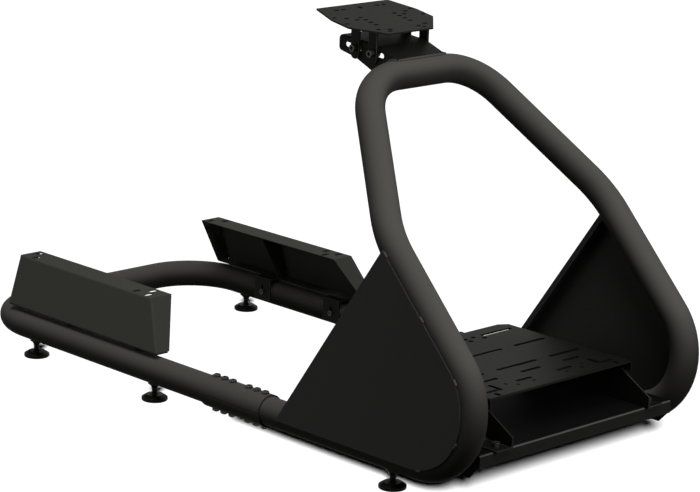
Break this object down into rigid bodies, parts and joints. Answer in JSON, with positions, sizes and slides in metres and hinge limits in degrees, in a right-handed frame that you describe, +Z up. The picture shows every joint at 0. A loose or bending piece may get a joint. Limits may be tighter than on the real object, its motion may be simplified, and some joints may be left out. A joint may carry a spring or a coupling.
{
  "type": "sim racing rig frame",
  "caption": "Open bent-tube racing rig frame with side panels, seat brackets, slotted pedal tray, levelling feet and a sliding wheel deck.",
  "frame": {"origin": "on the floor under the middle of the frame's length and width", "axes": "+X towards the pedals, +Y to the driver's left, +Z up"},
  "size_m": [1.2898, 0.5762, 0.709],
  "materials": {
    "tube_coat": "satin black powder coat on bent steel tube",
    "sheet_coat": "matte black powder coat on folded steel sheet",
    "black_fastener": "black oxide on steel screws and stems",
    "pad_rubber": "moulded black pad"
  },
  "bodies": {
    "frame": {"foot_pad_left_1": "pad_rubber", "foot_pad_left_2": "pad_rubber", "foot_pad_left_3": "pad_rubber", "foot_pad_right_1": "pad_rubber", "foot_pad_right_2": "pad_rubber", "foot_pad_right_3": "pad_rubber", "foot_stem_left_1": "black_fastener", "foot_stem_left_2": "black_fastener", "foot_stem_left_3": "black_fastener", "foot_stem_right_1": "black_fastener", "foot_stem_right_2": "black_fastener", "foot_stem_right_3": "black_fastener", "pedal_plate": "sheet_coat", "rear_frame": "tube_coat", "saddle_bolts_left_1": "black_fastener", "saddle_bolts_left_2": "black_fastener", "saddle_bolts_right_1": "black_fastener", "saddle_bolts_right_2": "black_fastener", "saddle_left_1": "sheet_coat", "saddle_left_2": "sheet_coat", "saddle_right_1": "sheet_coat", "saddle_right_2": "sheet_coat", "seat_bracket_left": "sheet_coat", "seat_bracket_right": "sheet_coat", "side_panel_left": "sheet_coat", "side_panel_right": "sheet_coat", "side_tube_left": "tube_coat", "side_tube_right": "tube_coat", "splice_bolts_left": "black_fastener", "splice_bolts_right": "black_fastener", "splice_sleeve_lower_left": "tube_coat", "splice_sleeve_lower_right": "tube_coat", "splice_sleeve_upper_left": "tube_coat", "splice_sleeve_upper_right": "tube_coat", "top_hoop": "tube_coat", "tray_base": "sheet_coat", "tray_bolts_left": "black_fastener", "tray_bolts_right": "black_fastener", "tray_gusset_left": "sheet_coat", "tray_gusset_right": "sheet_coat", "wheel_bracket": "sheet_coat"},
    "wheel_deck": {"deck_bolts_left": "black_fastener", "deck_bolts_right": "black_fastener", "deck_strap_left_1": "sheet_coat", "deck_strap_left_2": "sheet_coat", "deck_strap_right_1": "sheet_coat", "deck_strap_right_2": "sheet_coat", "wheel_deck": "sheet_coat"}
  },
  "joints": [
    {"name": "wheel_deck_reach", "type": "slide", "parent": "frame", "child": "wheel_deck", "axis": [0.9963, 0, -0.0854], "range_m": [-0.008, 0.008]}
  ]
}
